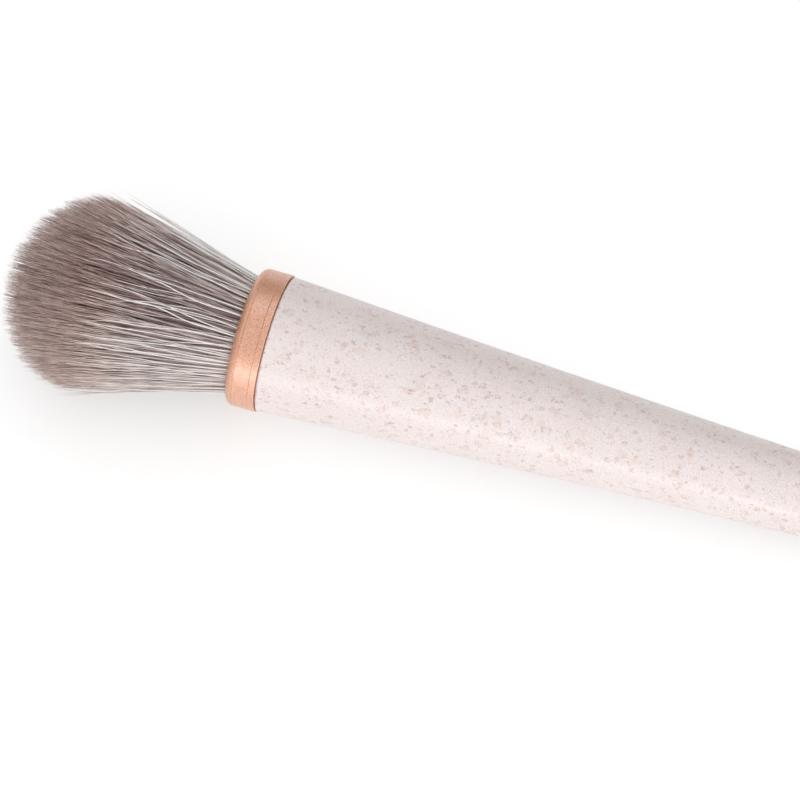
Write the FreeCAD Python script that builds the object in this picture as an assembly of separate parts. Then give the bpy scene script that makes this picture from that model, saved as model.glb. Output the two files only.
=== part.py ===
"""Round make-up brush: a speckled moulded handle, a satin metal ferrule and a domed tuft of fine filaments.

The brush lies along X. The origin is the centre of the seam where the ferrule's shoulder seats on the handle.
The tuft points towards -X, the tail of the handle towards +X, and +Z is up.
Every solid is turned about the X axis. All lengths are in millimetres.
"""

import FreeCAD
import Part

import math
import os

from FreeCAD import Vector

# Handle
HANDLE_FRONT_DIAMETER = 13.95  # at the seam
HANDLE_TAIL_DIAMETER = 4.8  # where the rounded tail begins
HANDLE_LENGTH = 120.4  # from the seam to the end of the tail
HANDLE_TAPER_POWER = 1.62  # 1 would be a straight cone; more makes the tail slender
HANDLE_EDGE_ROUND = 0.2  # front outer edge, beside the seam
SEAM_GAP = 0.06  # the front face is set back by this round its edge, which leaves a fine dark line
SEAM_GAP_DEPTH = 0.4  # how far the gap reaches in from the edge
TAPER_STATIONS = 9  # points that the handle's curve passes through

# Ferrule, a drawn tube with a wide band in front and a narrow sleeve behind
BAND_STEP = 0.12  # how far the band stands proud of the handle
BAND_LENGTH = 3.2  # seam to the front of the lip
BAND_REAR_ROUND = 0.06  # rear outer edge, beside the seam
LIP_LENGTH = 0.8  # the band's front edge rolls in over this length
LIP_DROP = 1.05  # and by this much of its radius
ROLL_STATIONS = 5  # points that the roll's curve passes through
FERRULE_WALL = 0.45
SLEEVE_LENGTH = 10.0  # how far the sleeve reaches into the handle
SOCKET_WALL = 1.08  # the handle's wall at the deep end of its socket
GROOVE_WIDTH = 0.1  # the band's two turned lines
GROOVE_DEPTH = 0.038
REAR_GROOVE_INSET = 0.68  # seam to the rear line

# Tuft of filaments
TUFT_LENGTH = 24.3  # free length, from the lip to the tip
BELLY_DISTANCE = 16.1  # from the lip to the widest place
BELLY_DIAMETER = 19.8
BELLY_FLAT = 0.4  # how far the filaments give way where the brush lies on a table
DOME_STATIONS = 8  # points that the dome's curve passes through

# Bonding
PLUG_LENGTH = 8.0  # resin that binds the roots of the filaments
ADHESIVE_FILM = 0.1  # between the sleeve and the handle's socket
ADHESIVE_POOL = 0.5  # between the sleeve's rear end and the socket's floor
FIT_GAP = 0.01  # between bonded round faces
BRISTLE_GAP = 0.07  # between the tuft and the metal around it

# Places that follow from the sizes above
handle_front_radius = HANDLE_FRONT_DIAMETER / 2
handle_tail_radius = HANDLE_TAIL_DIAMETER / 2
taper_length = HANDLE_LENGTH - handle_tail_radius
socket_depth = SLEEVE_LENGTH + ADHESIVE_POOL
band_radius = handle_front_radius + BAND_STEP
roll_end_radius = band_radius - LIP_DROP
hem_radius = FERRULE_WALL / 2  # the lip's edge is rounded over its whole wall
mouth_radius = roll_end_radius - hem_radius
mouth_x = -BAND_LENGTH + hem_radius
belly_x = -BAND_LENGTH - BELLY_DISTANCE
belly_radius = BELLY_DIAMETER / 2
lip_start = -(BAND_LENGTH - LIP_LENGTH)
plug_front = SLEEVE_LENGTH - PLUG_LENGTH


def handle_radius(x):
    """Radius of the handle at x: a power curve that levels out towards the tail."""
    remaining = 1 - x / taper_length
    return handle_tail_radius + (handle_front_radius - handle_tail_radius) * remaining**HANDLE_TAPER_POWER


socket_radius = handle_radius(socket_depth) - SOCKET_WALL
sleeve_radius = socket_radius - ADHESIVE_FILM
sleeve_bore = sleeve_radius - FERRULE_WALL
root_radius = sleeve_bore - BRISTLE_GAP
neck_radius = mouth_radius - BRISTLE_GAP


def at(x, radius):
    """A point of a profile, which lies in the XZ half plane."""
    return Vector(x, 0, radius)


def line(start, end):
    return Part.LineSegment(start, end).toShape()


def path(*points):
    """Straight edges from point to point."""
    return [line(start, end) for start, end in zip(points, points[1:])]


def quarter_arc(start, end, centre):
    """The quarter circle about centre from start to end."""
    radius = (start - centre).Length
    middle = centre + ((start + end) / 2 - centre).normalize() * radius
    return Part.Arc(start, middle, end).toShape()


def curve(points, start_tangent, end_tangent):
    """A smooth curve through the points with the given directions at its ends."""
    spline = Part.BSplineCurve()
    spline.interpolate(Points=points, InitialTangent=start_tangent, FinalTangent=end_tangent)
    return spline.toShape()


def quarter_ellipse(start, end, centre):
    """The quarter ellipse from start to end, which are the ends of its half axes."""
    first = start - centre
    second = end - centre
    angles = [math.pi / 2 * i / (ROLL_STATIONS - 1) for i in range(ROLL_STATIONS)]
    points = [centre + first * math.cos(a) + second * math.sin(a) for a in angles]
    return curve(points, second, first * -1)


def turned(edges):
    """The solid that a closed profile sweeps in one turn about the X axis."""
    face = Part.Face(Part.Wire(edges))
    solid = face.revolve(Vector(0, 0, 0), Vector(1, 0, 0), 360)
    if solid.Volume < 0:
        solid.reverse()
    return solid


def make_handle():
    """Moulded handle with a blind socket in its front face and a rounded tail."""
    edge_x = SEAM_GAP + HANDLE_EDGE_ROUND
    edge_radius = handle_radius(edge_x)
    seat_radius = edge_radius - SEAM_GAP_DEPTH
    taper_x = [edge_x + (taper_length - edge_x) * i / (TAPER_STATIONS - 1) for i in range(TAPER_STATIONS)]
    taper = [at(x, handle_radius(x)) for x in taper_x]
    front_slope = handle_radius(edge_x + 1) - edge_radius
    round_start = at(SEAM_GAP, edge_radius - HANDLE_EDGE_ROUND)
    tail_end = at(HANDLE_LENGTH, 0)
    edges = path(
        tail_end,
        at(socket_depth, 0),
        at(socket_depth, socket_radius),
        at(0, socket_radius),
        at(0, seat_radius),
        at(SEAM_GAP, seat_radius),
        round_start,
    )
    edges.append(quarter_arc(round_start, taper[0], at(edge_x, edge_radius - HANDLE_EDGE_ROUND)))
    edges.append(curve(taper, Vector(1, 0, front_slope), Vector(1, 0, 0)))
    edges.append(quarter_arc(taper[-1], tail_end, at(taper_length, 0)))
    return turned(edges)


def groove(centre_x):
    """Corners of one shallow turned line in the band, from rear to front."""
    half = GROOVE_WIDTH / 2
    return [
        at(centre_x + half, band_radius),
        at(centre_x, band_radius - GROOVE_DEPTH),
        at(centre_x - half, band_radius),
    ]


def make_ferrule():
    """Drawn metal tube of even wall: rolled lip, band with two turned lines, shoulder and inner sleeve."""
    rear_round_start = at(0, band_radius - BAND_REAR_ROUND)
    rear_round_end = at(-BAND_REAR_ROUND, band_radius)
    roll_start = at(lip_start, band_radius)
    roll_end = at(-BAND_LENGTH, roll_end_radius)
    roll_centre = at(lip_start, roll_end_radius)
    inner_roll_start = at(-BAND_LENGTH + FERRULE_WALL, roll_end_radius)
    inner_roll_end = at(lip_start, band_radius - FERRULE_WALL)
    hem = at(mouth_x, mouth_radius)
    edges = path(
        at(-FERRULE_WALL, sleeve_bore),
        at(SLEEVE_LENGTH, sleeve_bore),
        at(SLEEVE_LENGTH, sleeve_radius),
        at(0, sleeve_radius),
        rear_round_start,
    )
    rear_round_centre = at(-BAND_REAR_ROUND, band_radius - BAND_REAR_ROUND)
    edges.append(quarter_arc(rear_round_start, rear_round_end, rear_round_centre))
    edges += path(
        rear_round_end,
        *groove(-REAR_GROOVE_INSET),
        *groove(lip_start + GROOVE_WIDTH / 2),
    )
    edges.append(quarter_ellipse(roll_start, roll_end, roll_centre))
    edges.append(Part.Arc(roll_end, hem, inner_roll_start).toShape())
    edges.append(quarter_ellipse(inner_roll_start, inner_roll_end, roll_centre))
    edges += path(
        inner_roll_end,
        at(-FERRULE_WALL, band_radius - FERRULE_WALL),
        at(-FERRULE_WALL, sleeve_bore),
    )
    return turned(edges)


def make_table():
    """Block under the plane that the brush lies on, which cuts the belly flat and touches the tail."""
    flat_height = belly_radius - BELLY_FLAT
    reach = taper_length - belly_x
    slope = math.atan2(flat_height, reach) - math.asin(handle_tail_radius / math.hypot(flat_height, reach))
    side = 2 * BELLY_DIAMETER
    block = Part.makeBox(side, side, side, Vector(-side / 2, -side / 2, -side))
    block.rotate(Vector(0, 0, 0), Vector(0, 1, 0), -math.degrees(slope))
    block.translate(at(belly_x, -flat_height))
    return block


def make_tuft():
    """Outer shape of the filaments: straight roots, a flare, a belly flat where it lies, and a dome."""
    dome_depth = TUFT_LENGTH - BELLY_DISTANCE
    neck = at(mouth_x, neck_radius)

    # The flare leaves the mouth and touches the dome's ellipse at this angle from the brush axis.
    along = (mouth_x - belly_x) / dome_depth
    across = neck_radius / belly_radius
    touch_angle = math.atan2(across, along) + math.acos(1 / math.hypot(along, across))

    angles = [touch_angle + (math.pi - touch_angle) * i / (DOME_STATIONS - 1) for i in range(DOME_STATIONS)]
    dome = [at(belly_x + dome_depth * math.cos(a), belly_radius * math.sin(a)) for a in angles]
    root_end = at(plug_front, 0)
    edges = path(
        dome[-1],
        root_end,
        at(plug_front, root_radius),
        at(-FERRULE_WALL, root_radius),
        neck,
        dome[0],
    )
    edges.append(curve(dome, dome[0] - neck, Vector(0, 0, -1)))
    return turned(edges).cut(make_table())


def make_root_plug():
    """Resin plug that holds the filaments' roots in the sleeve."""
    radius = sleeve_bore - FIT_GAP
    return turned(
        path(
            at(plug_front, 0),
            at(SLEEVE_LENGTH, 0),
            at(SLEEVE_LENGTH, radius),
            at(plug_front, radius),
            at(plug_front, 0),
        )
    )


def make_handle_adhesive():
    """Cup of glue between the ferrule's sleeve and the handle's socket."""
    inner = sleeve_radius + FIT_GAP
    outer = socket_radius - FIT_GAP
    return turned(
        path(
            at(SLEEVE_LENGTH, 0),
            at(socket_depth, 0),
            at(socket_depth, outer),
            at(ADHESIVE_POOL, outer),
            at(ADHESIVE_POOL, inner),
            at(SLEEVE_LENGTH, inner),
            at(SLEEVE_LENGTH, 0),
        )
    )


PIECES = {
    "handle": make_handle,
    "ferrule": make_ferrule,
    "bristle_tuft": make_tuft,
    "root_plug": make_root_plug,
    "handle_adhesive": make_handle_adhesive,
}


def main():
    os.makedirs("parts", exist_ok=True)
    for name, make in PIECES.items():
        solid = make()
        solid.exportStep(f"parts/{name}.step")
        print(f"{name}: {solid.Volume:.1f} mm3, valid {solid.isValid()}, closed {solid.isClosed()}")


main()
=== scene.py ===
import math

import bpy
import numpy as np
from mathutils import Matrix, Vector


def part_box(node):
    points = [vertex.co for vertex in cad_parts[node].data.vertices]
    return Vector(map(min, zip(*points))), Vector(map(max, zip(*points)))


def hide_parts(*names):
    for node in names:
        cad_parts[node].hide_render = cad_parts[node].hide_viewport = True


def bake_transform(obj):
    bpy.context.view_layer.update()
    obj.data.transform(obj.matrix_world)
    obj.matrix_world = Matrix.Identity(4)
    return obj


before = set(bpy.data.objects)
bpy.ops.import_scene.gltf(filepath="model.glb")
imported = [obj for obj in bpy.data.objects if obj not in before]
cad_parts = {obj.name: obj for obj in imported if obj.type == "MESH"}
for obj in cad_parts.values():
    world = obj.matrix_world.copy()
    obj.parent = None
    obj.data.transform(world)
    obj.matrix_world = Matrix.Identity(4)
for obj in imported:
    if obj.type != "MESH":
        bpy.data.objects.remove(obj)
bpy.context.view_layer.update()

# Lengths are in metres, in the frame of the solids: the brush lies along X with its tuft towards -X.
MM = 0.001

# Photograph and camera
IMAGE_WIDTH = 800
IMAGE_HEIGHT = 801
SEAM_PIXEL = (274.7, 343.8)  # where the centre of the seam lies in the picture
PIXEL_SIZE = 0.1 * MM  # at the seam
CAMERA_AZIMUTH = 17.3
CAMERA_ELEVATION = 67.1
CAMERA_DISTANCE = 0.6
SENSOR_SIZE = 36.0  # millimetres, the camera's own unit

# Brightness of the studio, where 1 is white
STUDIO_FRONT = 0.61
STUDIO_BACK = 0.12
FLOOR_GLOW = 0.47

# Layout of the studio
BACK_FROM = 0.67  # the studio darkens where the Y of a direction is larger than this
FLOOR_HALF = 2.0  # half the side of the floor
LAMP_AIM = Vector((0.02, 0, 0))  # the point that the lamps look at

# Places on the brush, read from the solids
lip_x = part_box("ferrule")[0].x
tip_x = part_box("bristle_tuft")[0].x
belly_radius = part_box("bristle_tuft")[1].z
tail_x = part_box("handle")[1].x

# Tuft
TUFT_NECK = 5.7 * MM  # radius where the filaments leave the lip
BELLY_DISTANCE = 16.1 * MM  # from the lip to the widest place
FLARE = 0.252  # growth of the outer radius for each length along the brush
ROOT_DEPTH = 1.2 * MM  # the strands start this far inside the lip
OVERSHOOT = 0.7 * MM  # the longest strands end this far beyond the dome
LEAN = 0.45 * MM  # at its tip the tuft leans this far to the front
ROOT_SWELL = 0.35  # strands are thicker at their roots by this share
TIP_THINNING = 0.85  # and thinner at their tips by this share
TUBE_SIDES = 3  # of each strand
PAINTED_SHADE_STRETCHES = 7.0  # noise cells along a strand that place its painted shade: darker stretches that stand in for the shade between parted strands
PAINTED_SHADE_SPREAD = 300.0  # noise cells between the palest and the darkest strand, so that few share a pattern of painted shade
GOLDEN_ANGLE = math.pi * (3 - math.sqrt(5))
FRONT_PAINTED_LIGHT = 0.43  # painted light: strands on the front side, which faces the front lamp, are paler by up to this much
PAINTED_LIGHT_FROM = 0.3  # the painted light begins at this share of the tuft's radius
PALER_BACK = 0.28  # strands on the back side are paler by up to this much
FLAT_Z = -9.5 * MM  # the tuft's underside gives way to this depth below the brush axis
TAIL_RADIUS = 2.4 * MM  # of the handle's rounded end, which rests on the floor
belly_x = lip_x - BELLY_DISTANCE
tuft_length = lip_x - tip_x
dome_depth = tuft_length - BELLY_DISTANCE

SEED = 20
random = np.random.default_rng(SEED)


def linear(red, green, blue):
    """A colour given in screen values from 0 to 255, as the shader wants it."""

    def one(value):
        value = value / 255
        return value / 12.92 if value <= 0.04045 else ((value + 0.055) / 1.055) ** 2.4

    return (one(red), one(green), one(blue), 1.0)


class Nodes:
    """A short way to write a material's nodes."""

    def __init__(self, name):
        self.material = bpy.data.materials.new(name)
        self.material.use_nodes = True
        self.tree = self.material.node_tree
        self.shader = self.tree.nodes["Principled BSDF"]

    def add(self, kind, settings=None, **inputs):
        """A node with some settings, whose inputs are values or the outputs of other nodes."""
        node = self.tree.nodes.new("ShaderNode" + kind)
        for key, value in (settings or {}).items():
            setattr(node, key, value)
        for key, value in inputs.items():
            self.feed(node.inputs[key.replace("_", " ")], value)
        return node

    def feed(self, socket, value):
        """Links the socket to another node's output, or sets its value."""
        if isinstance(value, bpy.types.NodeSocket):
            self.tree.links.new(value, socket)
        else:
            socket.default_value = value

    def math(self, operation, first, second=0.0, clamp=False):
        node = self.tree.nodes.new("ShaderNodeMath")
        node.operation = operation
        node.use_clamp = clamp
        self.feed(node.inputs[0], first)
        self.feed(node.inputs[1], second)
        return node.outputs[0]

    def mix(self, share, first, second):
        """first where share is 0, second where it is 1."""
        node = self.tree.nodes.new("ShaderNodeMix")
        node.data_type = "RGBA"
        self.feed(node.inputs["Factor"], share)
        self.feed(node.inputs["A"], first)
        self.feed(node.inputs["B"], second)
        return node.outputs["Result"]

    def smooth(self, value, low, high, start=0.0, end=1.0):
        """start where value is at low, end where it is at high, with a soft step between."""
        node = self.add("MapRange", {"interpolation_type": "SMOOTHSTEP"})
        self.feed(node.inputs["Value"], value)
        self.feed(node.inputs["From Min"], low)
        self.feed(node.inputs["From Max"], high)
        self.feed(node.inputs["To Min"], start)
        self.feed(node.inputs["To Max"], end)
        return node.outputs["Result"]

    def ramp(self, value, stops):
        """The colour at this value between stops of (place, colour)."""
        node = self.tree.nodes.new("ShaderNodeValToRGB")
        elements = node.color_ramp.elements
        while len(elements) < len(stops):
            elements.new(1.0)
        for element, (place, colour) in zip(elements, stops):
            element.position = place
            element.color = colour
        self.feed(node.inputs["Fac"], value)
        return node.outputs["Color"]

    def noise(self, vector, feature, detail=2.0, roughness=0.5):
        """Noise whose features are about as large as the given length."""
        node = self.add("TexNoise", Vector=vector, Scale=1 / feature, Detail=detail, Roughness=roughness)
        return node.outputs["Fac"]

    def place(self):
        """Coordinates in the frame of the solids, in metres."""
        return self.add("TexCoord").outputs["Object"]

    def set(self, **inputs):
        """Feeds inputs of the main shader."""
        for key, value in inputs.items():
            self.feed(self.shader.inputs[key.replace("_", " ")], value)


# Materials


def wobbled(nodes, place, feature, reach):
    """Coordinates pushed about by noise, so that round shapes become ragged."""
    noise = nodes.add("TexNoise", Vector=place, Scale=1 / feature, Detail=3.0, Roughness=0.65)
    offset = nodes.add("VectorMath", {"operation": "SUBTRACT"})
    nodes.feed(offset.inputs[0], noise.outputs["Color"])
    nodes.feed(offset.inputs[1], (0.5, 0.5, 0.5))
    moved = nodes.add("VectorMath", {"operation": "MULTIPLY_ADD"})
    nodes.feed(moved.inputs[0], offset.outputs["Vector"])
    nodes.feed(moved.inputs[1], (2 * reach,) * 3)
    nodes.feed(moved.inputs[2], place)
    return moved.outputs["Vector"]


def fleck_layer(nodes, place, cell, share, largest, stretch, turn, shift):
    """Scattered chips of plant fibre: (inside mask, mask of the rim, a random value for each chip)."""
    ragged = wobbled(nodes, place, 0.4 * cell, 0.3 * cell)
    mapped = nodes.add("Mapping", Vector=ragged)
    nodes.feed(mapped.inputs["Location"], shift)
    nodes.feed(mapped.inputs["Rotation"], turn)
    nodes.feed(mapped.inputs["Scale"], stretch)
    squares = {"distance": "CHEBYCHEV"}
    cells = nodes.add("TexVoronoi", squares, Vector=mapped.outputs["Vector"], Scale=1 / cell)
    dice = nodes.add("SeparateColor", Color=cells.outputs["Color"])
    edge = nodes.smooth(dice.outputs["Green"], 0.0, 1.0, 0.35 * largest, largest)
    inside = nodes.math("SUBTRACT", edge, cells.outputs["Distance"])
    chosen = nodes.math("LESS_THAN", dice.outputs["Red"], share)
    body = nodes.math("MULTIPLY", nodes.smooth(inside, 0.0, 0.05), chosen)
    rim = nodes.math("MULTIPLY", body, nodes.smooth(inside, 0.05, 0.12, 1.0, 0.0))
    return body, rim, dice.outputs["Blue"]


def with_flecks(nodes, place, colour):
    """The colour with chips of straw, husk and seed laid into it, and a mask of all the chips."""
    straw = [
        (0.0, linear(226, 204, 184)),
        (0.4, linear(228, 198, 184)),
        (0.75, linear(212, 186, 170)),
        (1.0, linear(228, 186, 168)),
    ]
    husk = [(0.0, linear(192, 176, 172)), (0.5, linear(176, 156, 150)), (1.0, linear(202, 178, 162))]
    seed = [(0.0, linear(150, 132, 128)), (0.6, linear(132, 116, 114)), (1.0, linear(168, 138, 122))]
    layers = [
        # cell, share, largest, stretch, turn, shift, colours, fill, rim
        (1.5 * MM, 0.50, 0.36, (1.0, 1.5, 1.5), (0.3, 0.5, 0.2), (0.0, 0.0, 0.0), straw, 0.36, 0.50),
        (1.25 * MM, 0.40, 0.34, (1.6, 1.0, 1.6), (0.0, 0.4, 0.9), (0.013, 0.027, 0.005), straw, 0.40, 0.50),
        (1.15 * MM, 0.38, 0.32, (1.4, 1.8, 1.0), (0.8, 0.0, 0.4), (0.031, 0.011, 0.019), husk, 0.38, 0.50),
        (1.0 * MM, 0.22, 0.26, (1.0, 2.0, 1.8), (0.2, 0.9, 0.6), (0.007, 0.041, 0.023), seed, 0.44, 0.25),
        (0.5 * MM, 0.24, 0.36, (1.0, 1.4, 1.2), (0.5, 0.2, 0.1), (0.017, 0.003, 0.037), husk, 0.36, 0.10),
    ]
    every = 0.0
    broken = nodes.smooth(nodes.noise(place, 0.35 * MM, detail=2.0), 0.42, 0.6)
    patchy = nodes.smooth(nodes.noise(place, 0.5 * MM, detail=3.0), 0.3, 0.65, 0.4, 1.0)
    for cell, share, largest, stretch, turn, shift, stops, fill, line in layers:
        body, rim, dice = fleck_layer(nodes, place, cell, share, largest, stretch, turn, shift)
        tint = nodes.ramp(dice, stops)
        shade = nodes.mix(0.5, tint, linear(138, 118, 112))
        filled = nodes.math("MULTIPLY", nodes.math("MULTIPLY", body, patchy), fill)
        outlined = nodes.math("MULTIPLY", nodes.math("MULTIPLY", rim, broken), line)
        colour = nodes.mix(filled, colour, tint)
        colour = nodes.mix(outlined, colour, shade)
        every = nodes.math("MAXIMUM", every, body)
    return colour, every


def handle_material():
    """Satin moulded composite: pale pinkish resin with chips of straw and bran in it."""
    nodes = Nodes("speckled_composite")
    place = nodes.place()
    cloud = nodes.noise(place, 5 * MM, detail=3.0)
    colour = nodes.mix(
        nodes.smooth(cloud, 0.3, 0.7),
        linear(238, 227, 225),
        linear(235, 223, 221),
    )
    grain = nodes.noise(place, 0.1 * MM, detail=3.0, roughness=0.7)
    colour = nodes.mix(nodes.smooth(grain, 0.45, 0.75, 0.0, 0.85), colour, linear(192, 175, 171))
    colour = nodes.mix(nodes.smooth(grain, 0.45, 0.25, 0.0, 0.85), colour, linear(250, 243, 240))
    bran = nodes.noise(place, 0.45 * MM, detail=4.0, roughness=0.7)
    colour = nodes.mix(nodes.smooth(bran, 0.58, 0.72, 0.0, 0.45), colour, linear(206, 187, 180))
    colour, every = with_flecks(nodes, place, colour)

    smear = nodes.noise(place, 0.5 * MM, detail=2.0)
    gloss = nodes.math("ADD", nodes.smooth(smear, 0.3, 0.7, 0.3, 0.38), nodes.math("MULTIPLY", every, 0.05))
    height = nodes.math("ADD", nodes.math("MULTIPLY", grain, 0.4), nodes.math("MULTIPLY", every, 0.25))
    bump = nodes.add("Bump", Height=height, Strength=0.25, Distance=0.02 * MM)
    nodes.set(Base_Color=colour, Roughness=gloss, Normal=bump.outputs["Normal"])
    nodes.set(Specular_IOR_Level=0.42)
    return nodes.material


def ferrule_material():
    """Satin copper-coloured metal with a fine blasted grain under a thin clear lacquer."""
    nodes = Nodes("satin_copper_metal")
    place = nodes.place()
    grain = nodes.noise(place, 0.14 * MM, detail=3.0, roughness=0.7)
    cloud = nodes.noise(place, 2.5 * MM, detail=2.0)
    colour = nodes.mix(nodes.smooth(grain, 0.3, 0.7), linear(175, 103, 63), linear(248, 174, 126))
    colour = nodes.mix(nodes.smooth(cloud, 0.3, 0.7, 0.0, 0.35), colour, linear(211, 139, 94))
    gloss = nodes.smooth(grain, 0.25, 0.75, 0.38, 0.54)
    bump = nodes.add("Bump", Height=grain, Strength=1.0, Distance=0.04 * MM)
    nodes.set(Base_Color=colour, Roughness=gloss, Normal=bump.outputs["Normal"])
    nodes.set(Metallic=0.45, Specular_IOR_Level=1.0, Specular_Tint=linear(250, 240, 235))
    nodes.set(Coat_Weight=1.0, Coat_IOR=2.4, Coat_Roughness=0.4)
    return nodes.material


def resin_material(name, pale, deep):
    """Cured glue, slightly cloudy."""
    nodes = Nodes(name)
    place = nodes.place()
    cloud = nodes.noise(place, 1.2 * MM, detail=3.0)
    nodes.set(Base_Color=nodes.mix(nodes.smooth(cloud, 0.3, 0.7), pale, deep))
    nodes.set(Roughness=nodes.smooth(cloud, 0.3, 0.7, 0.18, 0.3))
    return nodes.material


def filament_material(name, root_tones, tip_tones, painted_shade_strength):
    """Synthetic filaments: each has its own tone, another colour at its tip and painted shade, darker
    stretches where the strands around it would shade it.
    """
    nodes = Nodes(name)
    tone = nodes.add("Attribute", {"attribute_name": "tone"}).outputs["Fac"]
    along = nodes.add("Attribute", {"attribute_name": "along"}).outputs["Fac"]
    mottle = nodes.noise(nodes.place(), 1.4 * MM, detail=2.0)
    shifted = nodes.math("ADD", tone, nodes.smooth(mottle, 0.3, 0.7, -0.05, 0.05), clamp=True)
    root = nodes.ramp(shifted, root_tones)
    tip = nodes.ramp(shifted, tip_tones)
    colour = nodes.mix(nodes.smooth(along, 0.55, 1.0), root, tip)

    # Painted shade: stretches of about 4 mm darkened as if shaded by the strands around them, in other
    # places on each strand because its tone shifts the noise.
    lengthwise = nodes.math("MULTIPLY", along, PAINTED_SHADE_STRETCHES)
    sideways = nodes.math("MULTIPLY", tone, PAINTED_SHADE_SPREAD)
    lane = nodes.add("CombineXYZ", X=lengthwise, Y=sideways)
    flat = {"noise_dimensions": "2D"}
    patch = nodes.add("TexNoise", flat, Vector=lane.outputs["Vector"], Scale=1.0, Detail=1.0)
    painted_shade_mask = nodes.smooth(patch.outputs["Fac"], 0.58, 0.68, 0.0, painted_shade_strength)
    painted_shade_mask = nodes.math("MULTIPLY", painted_shade_mask, nodes.smooth(along, 0.5, 0.8, 0.2, 1.0))
    # Painted shade: along its shaded stretches the strand takes this dark colour.
    nodes.set(Base_Color=nodes.mix(painted_shade_mask, colour, linear(72, 54, 54)))
    nodes.set(Roughness=nodes.smooth(mottle, 0.3, 0.7, 0.42, 0.52))
    nodes.set(Specular_IOR_Level=0.45)
    return nodes.material


# Strands


def strand_lengths(share):
    """How far from the lip a straight strand at this share of the tuft's radius meets the dome."""
    a = (share * FLARE / belly_radius) ** 2 + 1 / dome_depth**2
    b = 2 * (share**2 * TUFT_NECK * FLARE / belly_radius**2 - BELLY_DISTANCE / dome_depth**2)
    c = (share * TUFT_NECK / belly_radius) ** 2 + (BELLY_DISTANCE / dome_depth) ** 2 - 1
    return (-b + np.sqrt(np.maximum(b**2 - 4 * a * c, 0))) / (2 * a)


def eased(value, low, high):
    """0 below low, 1 above high, with a soft step between."""
    part = np.clip((value - low) / (high - low), 0, 1)
    return part * part * (3 - 2 * part)


def waves(free, low, high):
    """A wave for each strand, with low to high beats along the tuft, still at the root."""
    count = len(free)
    phase = random.uniform(0, 2 * math.pi, (count, 1))
    beat = random.uniform(low, high, (count, 1))
    size = random.lognormal(0, 0.5, (count, 1))
    return size * (np.sin(2 * math.pi * beat * free + phase) - np.sin(phase)) * free**0.8


def strand_paths(share, angle, length, rings, wave, drift, pull, lift, locks):
    """Points of each strand from root to tip, as an array of strands by rings by xyz."""
    count = len(share)
    along = -ROOT_DEPTH + (length[:, None] + ROOT_DEPTH) * np.linspace(0, 1, rings)
    free = np.clip(along / tuft_length, 0, 1)
    outer = TUFT_NECK + FLARE * along
    radial = np.stack([np.cos(angle), np.sin(angle)], axis=1)[:, None, :]
    sideways = np.stack([-np.sin(angle), np.cos(angle)], axis=1)[:, None, :]

    # Strands leave the lip side by side and gather into locks on their way.
    start = share[:, None, None] * radial
    gather = pull * eased(free, 0.05, 0.6)[:, :, None]
    place = start + gather * (locks[nearest_lock(start[:, 0], locks)][:, None, :] - start)

    # Each strand waves, drifts to one side and may stand away, all more towards its tip.
    sway = wave * (waves(free, 0.5, 1.5) + 0.2 * waves(free, 2.0, 4.0))
    sway += drift * random.normal(0, 1, (count, 1)) * free
    away = 0.4 * wave * waves(free, 0.5, 1.5)
    away += lift * np.abs(random.normal(0, 1, (count, 1))) * free**1.2
    across = place * outer[:, :, None] + sway[:, :, None] * sideways + away[:, :, None] * radial
    across[:, :, 0] -= LEAN * free**1.5

    x = lip_x - along
    across[:, :, 1] = np.maximum(across[:, :, 1], floor_height(x))
    return np.concatenate([x[:, :, None], across], axis=2)


def nearest_lock(start, locks):
    """The number of the lock that lies nearest to each strand's root."""
    return np.argmin(np.sum((start[:, None, :] - locks[None, :, :]) ** 2, axis=2), axis=1)


def floor_height(x):
    """Height of the plane that the brush lies on."""
    reach = tail_x - TAIL_RADIUS - belly_x
    drop = -FLAT_Z
    slope = math.atan2(drop, reach) - math.asin(TAIL_RADIUS / math.hypot(drop, reach))
    return FLAT_Z + (x - belly_x) * math.tan(slope)


def tube_corners(points, radius):
    """The corners round each point of each strand."""
    tangent = np.gradient(points, axis=1)
    tangent /= np.linalg.norm(tangent, axis=2, keepdims=True)
    across = np.cross(tangent, np.array([0.0, 0.0, 1.0]))
    across /= np.linalg.norm(across, axis=2, keepdims=True)
    above = np.cross(across, tangent)
    corners = []
    for side in range(TUBE_SIDES):
        turn = 2 * math.pi * side / TUBE_SIDES
        corners.append(points + radius[:, :, None] * (math.cos(turn) * across + math.sin(turn) * above))
    return np.stack(corners, axis=2).reshape(-1, 3)


def tube_faces(count, rings):
    """Corner numbers of the tubes' four-cornered sides and of their three-cornered ends."""
    first = np.arange(count) * rings * TUBE_SIDES
    ring = (np.arange(rings - 1) * TUBE_SIDES)[None, :, None]
    side = np.arange(TUBE_SIDES)
    low = first[:, None, None] + ring + side
    high = first[:, None, None] + ring + (side + 1) % TUBE_SIDES
    quads = np.stack([low, high, high + TUBE_SIDES, low + TUBE_SIDES], axis=3).reshape(-1, 4)
    roots = first[:, None] + side[::-1]
    tips = (first + (rings - 1) * TUBE_SIDES)[:, None] + side
    return quads, np.concatenate([roots, tips])


def smooth_mesh(name, vertices, quads, ends):
    """A smooth mesh of these faces, and the corner numbers of its faces in their order."""
    loops = np.concatenate([quads.ravel(), ends.ravel()]).astype(np.int32)
    starts = np.concatenate([np.arange(len(quads)) * 4, len(quads) * 4 + np.arange(len(ends)) * 3])
    mesh = bpy.data.meshes.new(name)
    mesh.vertices.add(len(vertices))
    mesh.vertices.foreach_set("co", vertices.astype(np.float32).ravel())
    mesh.loops.add(len(loops))
    mesh.loops.foreach_set("vertex_index", loops)
    mesh.polygons.add(len(starts))
    mesh.polygons.foreach_set("loop_start", starts.astype(np.int32))
    mesh.update(calc_edges=True)
    mesh.polygons.foreach_set("use_smooth", np.ones(len(starts), bool))
    return mesh, loops


def add_values(mesh, name, values):
    """A value for each corner, which the material reads by its name."""
    attribute = mesh.attributes.new(name, "FLOAT", "POINT")
    attribute.data.foreach_set("value", values.astype(np.float32))


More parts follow.
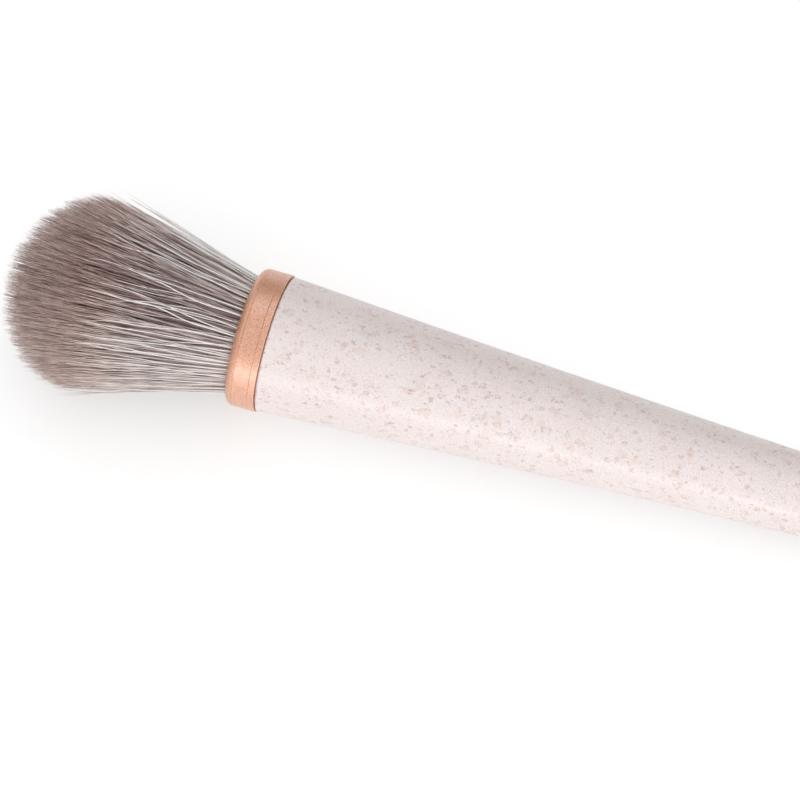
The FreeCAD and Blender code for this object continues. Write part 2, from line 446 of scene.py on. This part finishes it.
def add_chart(mesh, loops, step, count):
    """A map on which each strand has a field of its own."""
    rings = len(step)
    grid = math.ceil(math.sqrt(count))
    strand = np.repeat(np.arange(count), rings * TUBE_SIDES)
    lengthwise = np.tile(np.repeat(step, TUBE_SIDES), count)
    around = np.tile(np.arange(TUBE_SIDES) / (TUBE_SIDES - 1), rings * count)
    u = (strand % grid + 0.1 + 0.8 * lengthwise) / grid
    v = (strand // grid + 0.1 + 0.8 * around) / grid
    chart = mesh.uv_layers.new(name="OFBake")
    chart.uv.foreach_set("vector", np.stack([u[loops], v[loops]], axis=1).astype(np.float32).ravel())


def add_strands(name, points, thickness, tone, material):
    """Closed tubes along the paths, thick at the root and thin at the tip, in place of the solid tuft."""
    count, rings, _ = points.shape
    step = np.linspace(0, 1, rings)
    swell = ROOT_SWELL * (1 - eased(step, 0.0, 0.5))
    thinning = TIP_THINNING * np.clip((step - 0.7) / 0.3, 0, 1) ** 1.3
    radius = thickness[:, None] / 2 * (1.0 + swell - thinning)
    mesh, loops = smooth_mesh(name, tube_corners(points, radius), *tube_faces(count, rings))
    add_values(mesh, "tone", np.repeat(tone, rings * TUBE_SIDES))
    add_values(mesh, "along", np.tile(np.repeat(step, TUBE_SIDES), count))
    add_chart(mesh, loops, step, count)
    mesh.materials.append(material)

    piece = bpy.data.objects.new(name, mesh)
    bpy.context.scene.collection.objects.link(piece)
    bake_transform(piece)
    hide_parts("bristle_tuft")


def even_points(count, inner, outer):
    """Points spread evenly over a ring, as seeds in a sunflower: (distance from its centre, angle)."""
    order = np.arange(count)
    share = np.sqrt(inner**2 + (outer**2 - inner**2) * (order + random.uniform(0, 1, count)) / count)
    spacing = math.sqrt(math.pi * (outer**2 - inner**2) / count)
    return share, GOLDEN_ANGLE * order + random.normal(0, 0.3 * spacing, count) / share


def scattered_points(count, inner, outer):
    """Points strewn over a ring: (distance from its centre, angle)."""
    share = np.sqrt(random.uniform(inner**2, outer**2, count))
    return share, random.uniform(0, 2 * math.pi, count)


def on_disc(share, angle):
    """The same points in two coordinates across the brush."""
    return np.stack([share * np.cos(angle), share * np.sin(angle)], axis=1)


def grow(
    name, roots, rings, thickness, wave, ragged, tone, spread, material, locks, drift=0.0, pull=0.0, lift=0.0
):
    """One kind of filament, whose roots are given as shares of the tuft's radius and angles."""
    share, angle = roots
    count = len(share)
    start = on_disc(share, angle)
    lock = nearest_lock(start, locks["place"])
    length = strand_lengths(np.minimum(share, 1.0)) + OVERSHOOT - np.abs(random.normal(0, ragged, count))
    length -= locks["short"][lock]
    points = strand_paths(share, angle, length, rings, wave, drift, pull, lift, locks["place"])
    thick = thickness * random.uniform(0.8, 1.2, count)
    own = tone + random.normal(0, spread, count)
    # Painted light: strands on the front side, the side that the front lamp lights, are made paler.
    own += FRONT_PAINTED_LIGHT * np.clip((-start[:, 0] - PAINTED_LIGHT_FROM) / (1 - PAINTED_LIGHT_FROM), 0, 1)
    own += PALER_BACK * np.clip(start[:, 0], 0, 1)
    tones = np.clip(own + locks["tone"][lock], 0, 1)
    add_strands(name, points, thick, tones, material)


def add_tuft():
    """The filaments in five kinds: inner, outer, mixed among the outer ones, pale and stray."""
    place = on_disc(*scattered_points(900, 0.0, 1.0))
    locks = {
        "place": place,
        "tone": random.normal(0, 0.07, len(place)),
        "short": np.abs(random.normal(0, 0.3 * MM, len(place))),
    }
    taupe_roots = [(0.0, linear(106, 87, 86)), (0.5, linear(190, 166, 162)), (1.0, linear(250, 239, 234))]
    taupe_tips = [(0.0, linear(100, 72, 70)), (0.5, linear(224, 191, 184)), (1.0, linear(244, 224, 216))]
    pale_roots = [(0.0, linear(232, 226, 223)), (0.5, linear(250, 248, 246)), (1.0, linear(255, 254, 253))]
    pale_tips = [(0.0, linear(226, 208, 201)), (1.0, linear(252, 244, 239))]
    body = filament_material("taupe_filament", taupe_roots, taupe_tips, painted_shade_strength=0.6)
    light = filament_material("pale_filament", pale_roots, pale_tips, painted_shade_strength=0.15)
    grow(
        "bristles_inner", even_points(5000, 0.0, 0.86), rings=6, thickness=0.11 * MM, wave=0.25 * MM,
        ragged=0.8 * MM, tone=0.5, spread=0.34, material=body, locks=locks, pull=0.4,
    )
    grow(
        "bristles_outer", even_points(1850, 0.86, 1.0), rings=18, thickness=0.1 * MM, wave=0.32 * MM,
        ragged=0.9 * MM, tone=0.41, spread=0.19, material=body, locks=locks, pull=0.35,
    )
    grow(
        "bristles_mixed", even_points(100, 0.96, 1.02), rings=24, thickness=0.11 * MM, wave=0.5 * MM,
        ragged=1.2 * MM, tone=0.85, spread=0.12, material=body, locks=locks, drift=0.8 * MM,
    )
    grow(
        "bristles_pale", even_points(84, 1.0, 1.06), rings=28, thickness=0.13 * MM, wave=0.7 * MM,
        ragged=2.5 * MM, tone=0.8, spread=0.2, material=light, locks=locks, drift=1.2 * MM,
    )
    grow(
        "bristles_stray", scattered_points(130, 0.99, 1.04), rings=24, thickness=0.08 * MM, wave=0.45 * MM,
        ragged=2.0 * MM, tone=0.6, spread=0.2, material=body, locks=locks, drift=0.6 * MM, lift=0.9 * MM,
    )


# Stage, lamps and camera


def direction(azimuth, elevation):
    """Away from the brush: azimuth 0 is the front, 90 the tail's end, and elevation 90 is straight up."""
    a = math.radians(azimuth)
    e = math.radians(elevation)
    return Vector((math.sin(a) * math.cos(e), -math.cos(a) * math.cos(e), math.sin(e)))


def view_axes():
    """The camera's right, up and back directions."""
    azimuth = math.radians(CAMERA_AZIMUTH)
    back = direction(CAMERA_AZIMUTH, CAMERA_ELEVATION)
    right = Vector((math.cos(azimuth), math.sin(azimuth), 0.0))
    return right, back.cross(right), back


def add_camera():
    """The camera at the photograph's angle, with the seam where the photograph has it."""
    right, up, back = view_axes()
    across = (SEAM_PIXEL[0] - IMAGE_WIDTH / 2) * PIXEL_SIZE
    above = (IMAGE_HEIGHT / 2 - SEAM_PIXEL[1]) * PIXEL_SIZE
    aim = -right * across - up * above
    data = bpy.data.cameras.new("camera")
    data.sensor_width = SENSOR_SIZE
    data.lens = SENSOR_SIZE * CAMERA_DISTANCE / (PIXEL_SIZE * max(IMAGE_WIDTH, IMAGE_HEIGHT))
    data.clip_start = 0.01
    camera = bpy.data.objects.new("camera", data)
    camera.location = aim + back * CAMERA_DISTANCE
    camera.rotation_mode = "QUATERNION"
    camera.rotation_quaternion = (-back).to_track_quat("-Z", "Y")
    bpy.context.scene.collection.objects.link(camera)
    bpy.context.scene.camera = camera


def seen_directly(tree):
    """1 for rays from the camera, from a mirror or through glass, and 0 for rays that only light."""
    path = tree.nodes.new("ShaderNodeLightPath")
    total = path.outputs["Is Camera Ray"]
    for name in ("Is Glossy Ray", "Is Transmission Ray"):
        add = tree.nodes.new("ShaderNodeMath")
        add.operation = "ADD"
        add.use_clamp = True
        tree.links.new(total, add.inputs[0])
        tree.links.new(path.outputs[name], add.inputs[1])
        total = add.outputs[0]
    return total


def add_floor():
    """Plain white table, touching the tuft and the tail."""
    half = FLOOR_HALF
    low, high = floor_height(-half), floor_height(half)
    corners = [(-half, -half, low), (half, -half, high), (half, half, high), (-half, half, low)]
    mesh = bpy.data.meshes.new("floor")
    mesh.from_pydata(corners, [], [(0, 1, 2, 3)])
    floor = bpy.data.objects.new("floor", mesh)
    bpy.context.scene.collection.objects.link(floor)
    nodes = Nodes("white_table")
    nodes.set(Base_Color=(0.68, 0.68, 0.68, 1.0), Roughness=0.9, Specular_IOR_Level=0.0)
    nodes.set(Emission_Color=(1.0, 1.0, 1.0, 1.0))
    glow = nodes.math("MULTIPLY", seen_directly(nodes.tree), FLOOR_GLOW)
    nodes.set(Emission_Strength=glow)
    mesh.materials.append(nodes.material)


def add_world():
    """Even white studio, darker behind the brush than in front of it and above."""
    world = bpy.data.worlds.new("studio")
    world.use_nodes = True
    tree = world.node_tree
    outward = tree.nodes.new("ShaderNodeTexCoord").outputs["Generated"]
    split = tree.nodes.new("ShaderNodeSeparateXYZ")
    tree.links.new(outward, split.inputs["Vector"])
    strength = tree.nodes.new("ShaderNodeMapRange")
    strength.interpolation_type = "SMOOTHSTEP"
    strength.inputs["From Min"].default_value = BACK_FROM
    strength.inputs["From Max"].default_value = 1.0
    strength.inputs["To Min"].default_value = STUDIO_FRONT
    strength.inputs["To Max"].default_value = STUDIO_BACK
    tree.links.new(split.outputs["Y"], strength.inputs["Value"])
    background = tree.nodes["Background"]
    background.inputs["Color"].default_value = (1.0, 1.0, 1.0, 1.0)
    tree.links.new(strength.outputs["Result"], background.inputs["Strength"])
    bpy.context.scene.world = world


def add_softbox(name, azimuth, elevation, distance, width, height, power):
    """A soft rectangular lamp, placed as the camera is, by azimuth and elevation round the brush."""
    away = direction(azimuth, elevation)
    data = bpy.data.lights.new(name, "AREA")
    data.shape = "RECTANGLE"
    data.size = width
    data.size_y = height
    data.energy = power
    lamp = bpy.data.objects.new(name, data)
    lamp.location = LAMP_AIM + away * distance
    lamp.rotation_mode = "QUATERNION"
    lamp.rotation_quaternion = away.to_track_quat("Z", "Y")
    bpy.context.scene.collection.objects.link(lamp)


def dress_nodes():
    """Finishes for the pieces that keep their solid shape."""
    finishes = {
        "handle": handle_material(),
        "ferrule": ferrule_material(),
        "root_plug": resin_material("potting_resin", linear(188, 164, 128), linear(166, 140, 104)),
        "handle_adhesive": resin_material("glue", linear(216, 208, 190), linear(200, 190, 168)),
    }
    for name, material in finishes.items():
        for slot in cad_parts[name].material_slots:
            slot.material = material


add_camera()
dress_nodes()
add_tuft()
add_floor()
add_world()
add_softbox("front_softbox", azimuth=18, elevation=7.5, distance=0.55, width=0.7, height=0.155, power=1.8)
add_softbox("back_softbox", azimuth=191, elevation=51, distance=0.55, width=0.7, height=0.155, power=0.43)
add_softbox("ceiling", azimuth=18, elevation=82, distance=1.0, width=2.0, height=2.0, power=4.1)
bpy.context.scene.view_settings.view_transform = "Standard"
